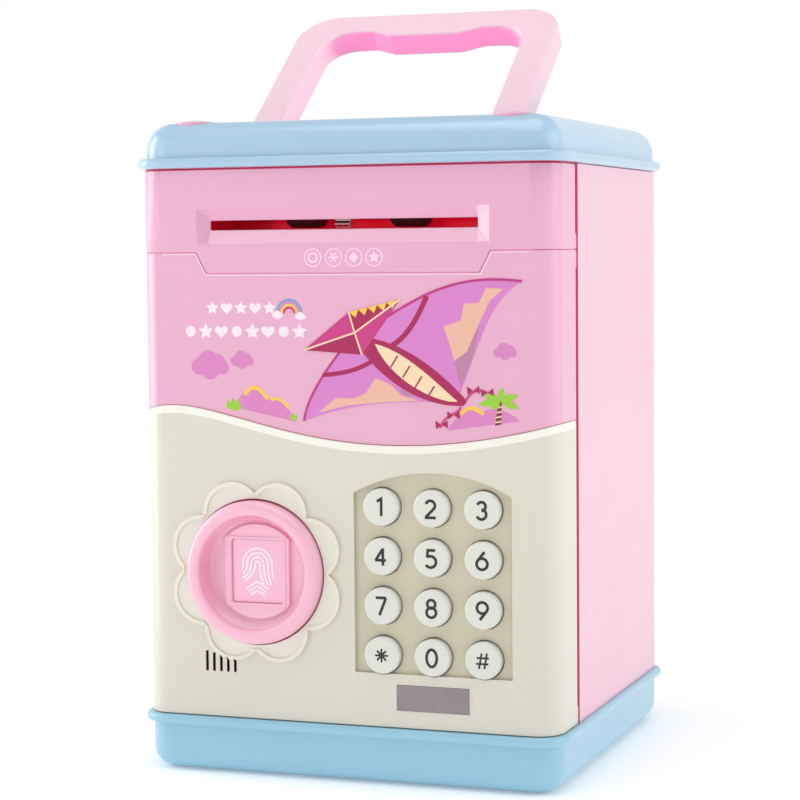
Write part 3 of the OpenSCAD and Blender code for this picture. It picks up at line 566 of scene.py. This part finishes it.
def round_wave_lip():
    """Rounds the front edge of the cream door along the wave."""
    node = NODES["door_front"]
    group = node.vertex_groups.new(name="lip")
    for v in node.data.vertices:
        x, y, z = (c / MM for c in v.co)
        if y < FRONT + 0.1 and abs(x) < CORNER_X + 0.2 and abs(z - wave_height(x)) < 0.6:
            group.add([v.index], 1.0, "REPLACE")
    weld(node)
    bevel(node, 1.3, 5, "VGROUP").vertex_group = "lip"


# ------------------------------------------------------------------ outlines as (x, z) points in mm

def arc(cx, cz, r, start, end, steps=24, rz=None):
    """Arc from start to end in degrees; rz is its half height where that isn't r."""
    rz = r if rz is None else rz
    angles = [math.radians(start + (end - start) * i / steps) for i in range(steps + 1)]
    return [(cx + r * math.cos(a), cz + rz * math.sin(a)) for a in angles]


def ring(cx, cz, r, rz=None, steps=32):
    return arc(cx, cz, r, 0, 360, steps, rz)[:-1]


def rectangle(cx, cz, half_x, half_z):
    return [(cx + x * half_x, cz + z * half_z) for x, z in ((-1, -1), (1, -1), (1, 1), (-1, 1))]


def glide(a, b, c, d, steps=20):
    """Points on the cubic curve from a to d."""
    return [tuple(cubic(i / steps, *axis) for axis in zip(a, b, c, d)) for i in range(steps + 1)]


def star(cx, cz, r):
    """Five-pointed star with its inner corners at half the radius."""
    reach = [r if i % 2 == 0 else r * 0.5 for i in range(10)]
    return [(cx + reach[i] * math.sin(math.pi * i / 5), cz + reach[i] * math.cos(math.pi * i / 5))
            for i in range(10)]


def heart(cx, cz, r, steps=28):
    out = []
    for i in range(steps):
        t = 2 * math.pi * (i + 0.5) / steps
        height = 13 * math.cos(t) - 5 * math.cos(2 * t) - 2 * math.cos(3 * t) - math.cos(4 * t)
        out.append((cx + r * math.sin(t) ** 3, cz + r * height / 16))
    return out


def cloud(cx, cz, w, h, steps=48):
    """Outline of five overlapping puffs seen from their middle."""
    puffs = [(-0.3 * w, -0.1 * h, 0.2 * w), (-0.05 * w, 0.12 * h, 0.26 * w),
             (0.18 * w, 0.05 * h, 0.22 * w), (0.32 * w, -0.12 * h, 0.18 * w),
             (0, -0.2 * h, 0.25 * w)]
    out = []
    for i in range(steps):
        a = 2 * math.pi * i / steps
        u, v = math.cos(a), math.sin(a)
        reach = 0
        for px, pz, r in puffs:
            along = px * u + pz * v
            off = px * px + pz * pz - along * along
            if r * r > off:
                reach = max(reach, along + math.sqrt(r * r - off))
        out.append((cx + reach * u, cz + reach * v))
    return out


def leaf(root, dx, dz, fat):
    """Leaf from its root to a tip dx, dz away, with sides that bow out towards fat mm."""
    length = math.hypot(dx, dz)
    bow_x, bow_z = -dz / length * fat, dx / length * fat
    mid_x, mid_z = root[0] + 0.5 * dx, root[1] + 0.5 * dz
    tip = (root[0] + dx, root[1] + dz)
    one, other = (mid_x + bow_x, mid_z + bow_z), (mid_x - bow_x, mid_z - bow_z)
    return glide(root, one, one, tip, 8) + glide(tip, other, other, root, 8)[1:-1]


# ------------------------------------------------------------------ solids from outlines

def slab(bm, outline, back, front):
    """Adds a closed flat piece that stands in the XZ plane, from y = back to y = front in mm."""
    rings = []
    for y in (front, back):
        rings.append([bm.verts.new((x * MM, y * MM, z * MM)) for x, z in outline])
    bm.faces.new(rings[0])
    bm.faces.new(list(reversed(rings[1])))
    count = len(outline)
    for i in range(count):
        j = (i + 1) % count
        bm.faces.new((rings[0][j], rings[0][i], rings[1][i], rings[1][j]))


def ribbon(bm, line, width, back, front, closed=False):
    """Adds a stroke of even width along a line of points, with flat ends unless it is closed."""
    count = len(line)
    left, right = [], []
    for i, (x, z) in enumerate(line):
        before = line[i - 1] if i or closed else line[i]
        after = line[(i + 1) % count] if i < count - 1 or closed else line[i]
        a = Vector((x - before[0], z - before[1]))
        b = Vector((after[0] - x, after[1] - z))
        a = a.normalized() if a.length > 1e-9 else b.normalized()
        b = b.normalized() if b.length > 1e-9 else a
        mid = (a + b).normalized()
        side = Vector((-mid.y, mid.x)) * (width / 2 / max(0.5, mid.dot(a)))
        left.append((x + side.x, z + side.y))
        right.append((x - side.x, z - side.y))
    grid = [[bm.verts.new((p[0] * MM, y * MM, p[1] * MM)) for p in row]
            for row, y in ((left, front), (right, front), (right, back), (left, back))]
    for i in range(count if closed else count - 1):
        j = (i + 1) % count
        for k in range(4):
            a, b = grid[k], grid[(k + 1) % 4]
            bm.faces.new((a[i], a[j], b[j], b[i]))
    if not closed:
        bm.faces.new([row[0] for row in grid])
        bm.faces.new([row[-1] for row in reversed(grid)])


def front_path():
    """Points (x, y) in mm and outward directions round the front of the case at its full width."""
    corner_steps, flat_steps = 12, 60
    angles = [math.radians(90 * i / corner_steps) for i in range(corner_steps + 1)]
    quarter = [(math.sin(t), math.cos(t)) for t in angles]
    right = [(CORNER_X + CORNER_R * a, CORNER_Y - CORNER_R * b, a, -b) for a, b in quarter]
    right.append((CORNER_X + CORNER_R, SIDE_END, 1, 0))
    flat = [(CORNER_X * (2 * i / flat_steps - 1), FRONT, 0, -1) for i in range(1, flat_steps)]
    left = [(-x, y, -a, b) for x, y, a, b in reversed(right)]
    return left + flat + right


def band(bm, height, profile):
    """Sweeps a closed profile round the front: profile is (down, out) in mm from z = height(x)."""
    rows = [[bm.verts.new(((x + a * out) * MM, (y + b * out) * MM, (height(x) - down) * MM))
             for down, out in profile] for x, y, a, b in front_path()]
    count = len(profile)
    for row, after in zip(rows, rows[1:]):
        for i in range(count):
            j = (i + 1) % count
            bm.faces.new((row[i], row[j], after[j], after[i]))
    bm.faces.new(rows[0])
    bm.faces.new(rows[-1])


def seam_shade_sheet(bm, height, thick, back, front):
    """Adds a strip of painted shade in a seam; back and front are in mm out from the case's face."""
    band(bm, height, [(-thick / 2, front), (thick / 2, front), (thick / 2, back), (-thick / 2, back)])


def piece(name, bm, material, body):
    """Turns a bmesh into a piece that rides on a CAD body."""
    bmesh.ops.recalc_face_normals(bm, faces=bm.faces)
    mesh = bpy.data.meshes.new(name)
    bm.to_mesh(mesh)
    bm.free()
    obj = bpy.data.objects.new(name, mesh)
    scene.collection.objects.link(obj)
    mesh.materials.append(material)
    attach(obj, body)
    return obj


# ------------------------------------------------------------------ marks on the keys, pad and slot panel

# each key's closed strokes and then its open strokes, about the middle of the key
GLYPHS = {
    "1": ([], [[(-1, 1.72), (0.35, 2.52), (0.35, -2.52)]]),
    "2": ([], [arc(0, 1.02, 1.38, 165, -40, 20) + [(-1.35, -2.3)], [(-1.75, -2.52), (1.6, -2.52)]]),
    "3": ([], [arc(-0.05, 1.2, 1.25, 160, -90), arc(-0.05, -1.1, 1.42, 90, -160)]),
    "4": ([], [[(0.7, 2.4), (-1.5, -0.95)], [(-1.7, -0.95), (1.65, -0.95)],
               [(0.72, 2.55), (0.72, -2.52)]]),
    "5": ([], [[(1.35, 2.5), (-0.9, 2.5), (-1.15, 0.35)], arc(-0.1, -0.85, 1.65, 125, -148)]),
    "6": ([ring(0, -0.9, 1.62)], [[(0.75, 2.6), (-1.45, -0.2)]]),
    "7": ([], [[(-1.6, 2.5), (1.55, 2.5)], [(1.55, 2.5), (-0.5, -2.6)]]),
    "8": ([ring(0, 1.3, 1.22), ring(0, -1.15, 1.45)], []),
    "9": ([ring(0, 0.9, 1.62)], [[(-0.75, -2.6), (1.45, 0.2)]]),
    "star": ([], [[(-2 * math.cos(a), -2 * math.sin(a)), (2 * math.cos(a), 2 * math.sin(a))]
                  for a in (0, math.pi / 4, math.pi / 2, 3 * math.pi / 4)]),
    "0": ([ring(0, 0, 1.55, 2.5)], []),
    "hash": ([], [[(-1.1, -2.3), (-0.3, 2.3)], [(0.5, -2.3), (1.3, 2.3)],
                  [(-1.8, 0.85), (1.9, 0.85)], [(-2, -0.85), (1.7, -0.85)]]),
}


def make_digits():
    """Prints the mark of each key on its cap."""
    for label, (loops, lines) in GLYPHS.items():
        cx, cz = middle(f"key_{label}")
        width = 0.58 if label in ("star", "hash") else 0.85
        bm = bmesh.new()
        for layer, points in enumerate(loops + lines):
            ribbon(bm, [(cx + x, cz + z) for x, z in points], width, KEY_FRONT + INK,
                   KEY_FRONT - INK - INK_STEP * layer, closed=layer < len(loops))
        piece("print_" + label, bm, INKS["digit"], f"key_{label}_body")


def make_fingerprint():
    """Raised generic ridges on the pad: arches over a core, legs swept outwards, oval limit."""
    width, sunk, raised = 0.62, 0.05, 0.16
    half_oval_x, half_oval_z = 5.1, 8.1
    arch_z = 2.2
    bm = bmesh.new()

    def inside(p):
        return (p[0] / half_oval_x) ** 2 + (p[1] / half_oval_z) ** 2 < 1

    def trace(line):
        """Adds the stretches of a line that lie inside the oval."""
        run = []
        outside = (99, 99)
        for p in line + [outside]:
            if inside(p):
                run.append((KNOB_X + p[0], KNOB_Z + p[1]))
                continue
            if len(run) > 2:
                ribbon(bm, run, width, PAD_FRONT + sunk, PAD_FRONT - raised)
            run = []

    for k, r in enumerate((0.75, 2.05, 3.35, 4.65)):
        left = glide((-r, arch_z), (-r, -0.2), (-r - 1.2, -1.4 + 0.5 * k), (-6, -4.6 + 1.45 * k), 18)
        right = glide((r, arch_z), (r, -0.4), (r + 0.3, -2), (2 + 1.25 * k, -3.6 - 0.35 * k), 18)
        trace(list(reversed(left)) + arc(0, arch_z, r, 180, 0, 28)[1:-1] + right)
    for k in range(3):
        peak = -3.1 - 1.35 * k
        trace(glide((-6, peak - 3), (-3, peak - 2.2), (-1.2, peak - 0.3), (0, peak), 18)
              + glide((0, peak), (1.2, peak - 0.3), (2.8, peak - 2.2), (6, peak - 3.2), 18)[1:])
    piece("pad_ridges", bm, INKS["ridge"], "pad")


def make_tokens():
    """Four ringed marks with plain shapes under the slot: a ring, an asterisk, a diamond, a star."""
    z = 154.4
    ring_x, asterisk_x, diamond_x, star_x = -8.4, -1.9, 4.35, 10.65
    back = FRONT + INK
    rim = FRONT - INK
    mark = rim - INK_STEP
    bm = bmesh.new()
    for x in (ring_x, asterisk_x, diamond_x, star_x):
        ribbon(bm, ring(x, z, 2.55), 0.32, back, rim, closed=True)
    ribbon(bm, ring(ring_x, z, 1.3), 0.55, back, mark, closed=True)
    for k in range(3):
        arm = arc(asterisk_x, z, 1.6, 60 * k, 60 * k + 180, 1)
        ribbon(bm, arm, 0.5, back, mark - 0.002 * k)
    slab(bm, ring(diamond_x, z, 1.5, 1.6, 4), back, mark)
    slab(bm, star(star_x, z, 1.8), back, mark)
    piece("print_tokens", bm, INKS["pale_print_and_highlight"], "safe")


# ------------------------------------------------------------------ print on the pink panel of the door

def make_panel_art():
    """Flat print: one piece for each colour and layer, with higher layers further out."""
    sheets = defaultdict(bmesh.new)
    back = PANEL_FRONT + 0.05
    front = PANEL_FRONT - INK

    def shape(colour, layer, outline, lift=0.0):
        slab(sheets[colour, layer], outline, back, front - INK * layer - lift)

    def stroke(colour, layer, line, width):
        ribbon(sheets[colour, layer], line, width, back, front - INK * layer)

    print_marks(shape)
    print_rainbow(shape, stroke)
    for cx, cz, w, h in ((-41.8, 123.1, 12.2, 8), (-31.4, 124.6, 7.6, 5), (49.9, 127.6, 7, 4.6)):
        shape("mauve", 0, cloud(cx, cz, w, h))
    print_hills(shape, stroke)
    print_palm(shape, stroke)
    print_kite(shape, stroke)
    for (colour, layer), bm in sheets.items():
        piece(f"panel_print_{colour}_{layer}", bm, INKS[colour], "door")


def print_marks(shape):
    """Two rows of stars, hearts and dots."""
    upper, lower = 139.7, 132.8
    for i in range(5):
        x = -40.8 + 4.6 * i
        shape("white", 0, heart(x, upper, 1.9) if i % 2 else star(x, upper, 2.2))
    for i in range(8):
        x = -48 + 5 * i
        marks = (ring(x, lower, 1.6), star(x, lower, 2.5), heart(x, lower, 2.1))
        shape("white", 0, marks[i % 3])


def print_rainbow(shape, stroke):
    """Rainbow between two small clouds."""
    for k, colour in enumerate(("sky", "mauve", "yellow", "magenta")):
        stroke(colour, 1, arc(-16.2, 138.2, 3.9 - 0.75 * k, 0, 180), 0.76)
    shape("white", 2, cloud(-19.9, 137.8, 3.4, 2.6))
    shape("white", 2, cloud(-12.6, 137.4, 3.4, 2.6))


def print_hills(shape, stroke):
    """A pair of lit hills with bushes on the left and a lower pair on the right."""
    shape("mauve", 0, [(-34.2, 110.4)]
          + glide((-33, 112.4), (-30, 116.5), (-27, 118), (-23.6, 112.6))
          + glide((-23.6, 112.6), (-21, 113.8), (-17.4, 112.6), (-14.8, 106.4))[1:])
    stroke("yellow", 1, glide((-30.6, 114), (-28.6, 117.6), (-26, 116.6), (-23.4, 112.9)), 1.1)
    stroke("yellow", 1, glide((-22.4, 112.7), (-20.4, 113.7), (-18.4, 112.6), (-16.6, 110.2)), 0.9)
    shape("green", 2, [(-36.6, 110.2), (-36.4, 112.4), (-35.2, 111.6), (-34.8, 113.2),
                       (-33.8, 112), (-32.4, 113), (-32.6, 111.4), (-31.6, 110), (-34, 109.2)])
    shape("green", 2, [(-16.4, 107.4), (-15.4, 109.2), (-14.8, 108), (-13.8, 108.4),
                       (-14.4, 106.4)])
    shape("mauve", 0, [(32.4, 104.6)] + glide((35.6, 109), (37.6, 113), (41, 111.6), (43, 110))
          + glide((43, 110), (46, 112.4), (51, 110.6), (54.4, 107.6))[1:])
    stroke("yellow", 1, glide((36.6, 109.2), (38.2, 111.9), (41, 111.6), (43.4, 109.4)), 1.1)


def print_palm(shape, stroke):
    """Palm with a ringed trunk; each leaf lies a little over the one before."""
    shape("trunk", 3, [(46.8, 106.2), (48.6, 106.6), (48.9, 113.2), (47.8, 113.2)])
    for k in range(4):
        z = 107.2 + 1.4 * k
        stroke("straw", 4, [(46.9 + 0.22 * k, z), (48.7 + 0.05 * k, z + 0.3)], 0.4)
    leaves = ((-6.6, -1.2, 1.6), (-5, 2.2, 1.5), (0.6, 3.8, 1.3), (5.4, 1.6, 1.5),
              (5.6, -2.2, 1.4), (-2.6, -2.6, 1.3))
    for k, (dx, dz, fat) in enumerate(leaves):
        shape("green", 4, leaf((48.4, 113.4), dx, dz, fat), lift=0.003 * k)


def print_kite(shape, stroke):
    """A delta kite with curved wings, a striped keel and a ribbon tail, and a small diamond kite."""
    nose, keel_end, upper_tip, lower_tip = (3.5, 131.5), (37.5, 111.8), (55, 147.3), (-11.8, 106.6)
    upper_lead = glide(nose, (20, 139), (30, 150.5), upper_tip)
    upper_trail = glide(upper_tip, (44, 141.5), (41.5, 126), (36.2, 115.2))
    lower_lead = glide(nose, (-3, 124), (-11, 114), lower_tip)
    lower_trail = glide(lower_tip, (0, 111.2), (14, 113.4), (33, 112.6))
    shape("orchid", 5, upper_lead + upper_trail[1:])
    shape("orchid", 5, lower_lead + lower_trail[1:])
    # lighter inner panels with a stepped edge, and a shaded strip beside them
    shape("peach", 6, [(49.6, 145.2), (44.4, 145.4), (42.2, 141.2), (37.8, 141), (36.8, 136.2),
                       (31.6, 134.4), (33.4, 129.4), (34.8, 124.6), (38.6, 127.4), (42.4, 135.6),
                       (45.4, 141.6)])
    shape("shadow", 6, [(36.6, 117.2), (34.8, 124.6), (38.6, 127.4), (42.2, 135.2), (40.8, 127.4)])
    shape("peach", 6, [(-7.4, 109.1), (-1.6, 113.6), (3.4, 113.4), (7.6, 115), (10.6, 119.4),
                       (15.4, 117.6), (18.4, 114.6), (24, 113.1), (14, 112.6), (2, 111.4)])
    shape("shadow", 6, [(18, 122.4), (23.4, 118.8), (29, 113.4), (18.6, 114.8)])
    for line in (upper_lead, lower_lead):
        stroke("rose_line", 7, line, 0.75)
    # cross spars
    stroke("plum", 8, glide((12, 127.4), (18, 129), (22, 133), (26.6, 143.2), 12), 1.5)
    stroke("plum", 8, glide((12, 126), (6, 121.4), (0, 120.6), (-5.8, 120.2), 12), 1.3)
    # keel: dark sail with a light striped band
    shape("plum", 9, glide(nose, (14, 131.6), (26, 126.4), (38.4, 113.2))
          + glide(keel_end, (26, 111), (12, 118), nose)[:-1])
    band_start = (10.6, 129.4)
    shape("straw", 10, glide(band_start, (20, 127.2), (28, 119.4), (35.8, 112.9))
          + glide((33, 113), (24, 114.6), (14, 121.4), band_start)[:-1])
    for k in range(4):
        x, z = 16.4 + 3.7 * k, 125.6 - 2.9 * k
        stroke("plum", 11, [(x - 1, z - 3), (x + 1.2, z + 0.4)], 0.5)
    # small diamond kite flying ahead of the large one, with a fringe along its top edge
    left, top, right, low = (-11.6, 127.4), (2.6, 138.6), (18.4, 142.2), (6.6, 126.2)
    cross = (4.4, 132.6)
    shape("magenta", 12, [left, top, cross])
    shape("plum", 12, [top, right, cross])
    shape("magenta", 12, [right, low, cross])
    shape("plum", 12, [low, left, cross])
    for k in range(5):
        x, z = top[0] + 1.6 + 2.9 * k, top[1] + 0.36 + 0.66 * k
        shape("yellow", 13, [(x - 1.5, z - 0.34), (x + 1.4, z + 0.32), (x + 0.5, z - 2)])
    stroke("straw", 14, [left, cross, right], 0.5)
    stroke("straw", 15, [top, cross, low], 0.5)
    # ribbon tail with bows
    stroke("magenta", 8, glide((37, 112), (40, 116), (41, 117), (44.6, 115.6), 16), 0.6)
    stroke("magenta", 8, glide((36.6, 111.4), (35, 108.6), (32, 109.8), (30.4, 105.4), 16), 0.6)
    for x, z in ((40.4, 116.2), (44.6, 115.6), (34.4, 109), (30.8, 106.2)):
        shape("plum", 9, [(x - 0.1, z), (x - 1.9, z + 1.1), (x - 1.7, z - 1.2)])
        shape("plum", 9, [(x + 0.1, z), (x + 1.7, z + 1.3), (x + 1.9, z - 0.9)])


# ------------------------------------------------------------------ borders, seams and lips

def make_window_frame():
    """Raised pale border round the small window."""
    outset = 0.4
    half_x, half_z = half_size("led_window")
    line = rectangle(*middle("led_window"), half_x + outset, half_z + outset)
    bm = bmesh.new()
    ribbon(bm, line, 0.55, FRONT + 0.05, FRONT - 0.14, closed=True)
    piece("window_border", bm, MATERIALS["cream"], "door")


def make_slot_panel_seams():
    """Sheets of painted shade that close the seams below and above the slot panel a little behind its
    face.
    """
    tab_low, tab_high, tuck, thick, deepest = 42.5, 45.8, 0.02, 0.18, 1.1
    back = FRONT + deepest
    left_corner = (-tab_low - tuck, TAB_SEAM)
    bm = bmesh.new()
    ribbon(bm, [(-tab_high - tuck, PANEL_SEAM), left_corner], thick, back, FRONT + 0.7)
    ribbon(bm, [left_corner, (tab_low, TAB_SEAM), (tab_high, PANEL_SEAM)], thick, back, FRONT + 0.3)
    seam_shade_sheet(bm, lambda x: PANEL_SEAM, 0.17, -deepest, -0.3)
    piece("panel_seam", bm, INKS["seam"], "safe")
    bm = bmesh.new()
    seam_shade_sheet(bm, lambda x: LID_SEAM, 0.16, -deepest, -0.15)
    piece("lid_seam", bm, INKS["red_seam_shade"], "safe")


def make_door_seams():
    """Pale strip along the top of the print panel as a painted highlight, and sheets of painted shade in
    the wave seam and the knob's gap.
    """
    tab_low, tab_high = 42.75, 46.05
    upper, lower = PANEL_SEAM - 0.5, TAB_SEAM - 0.5
    left = [(-CORNER_X, upper), (-tab_high, upper), (-tab_low, lower)]
    right = [(-x, z) for x, z in reversed(left)]
    bm = bmesh.new()
    ribbon(bm, left + right, 0.35, PANEL_FRONT + 0.05, PANEL_FRONT - 0.06)
    piece("panel_edge_highlight", bm, INKS["pale_print_and_highlight"], "door")
    bm = bmesh.new()
    seam_shade_sheet(bm, wave_height, 0.16, -1.0, -0.5)
    piece("red_seam_shade", bm, INKS["red_seam_shade"], "door")
    bm = bmesh.new()
    gap = ring(KNOB_X, KNOB_Z, 21.66, steps=96)
    ribbon(bm, gap, 0.34, FRONT + 3.25, FRONT + 0.5, closed=True)
    piece("knob_gap_ring", bm, INKS["red_seam_shade"], "door")


def make_pad_frames():
    """Sheet of painted shade in the gap round the pad, and the raised frame outside it. Both turn with
    the knob.
    """
    half_x, half_z = half_size("fingerprint_pad")
    for name, out_x, out_z, width, back, front, look in (
            ("pad_gap", 0.1, 0.1, 0.16, 2.5, 1.2, INKS["seam"]),
            ("pad_frame", 0.75, 0.65, 0.9, 0.55, 0.25, MATERIALS["knob_pink"])):
        bm = bmesh.new()
        line = rectangle(KNOB_X, KNOB_Z, half_x + out_x, half_z + out_z)
        ribbon(bm, line, width, FRONT + back, FRONT + front, closed=True)
        piece(name, bm, look, "lock_knob")


def make_wave_lip():
    """Rolled edge of the cream door under the wave seam, in a lighter cream as a painted highlight."""
    top, depth, rise, sunk, steps = 0.1, 2.3, 0.22, 0.2, 10
    roll = [(top + depth * i / steps, rise * math.sin(math.pi * (i / steps) ** 0.6))
            for i in range(steps + 1)]
    bm = bmesh.new()
    band(bm, wave_height, roll + [(top + depth, -sunk), (top, -sunk)])
    lip = piece("wave_lip", bm, MATERIALS["lit_lip_cream"], "door")
    lip.data.shade_smooth()
    lip.data.set_sharp_from_angle(angle=math.radians(35))


make_camera()
make_studio()
dress_nodes()
soften("upper_front_panel", 0.3)
soften("handle", 0.8)
# painted light on the handle: a lighter tint under the grip and a glow on the grip and inner leg walls
paint_handle_light(MATERIALS["handle_pink"], (255, 150, 204), (255, 138, 170), 0.34)
round_wave_lip()
make_digits()
make_fingerprint()
make_tokens()
make_panel_art()
make_window_frame()
make_slot_panel_seams()
make_door_seams()
make_pad_frames()
make_wave_lip()
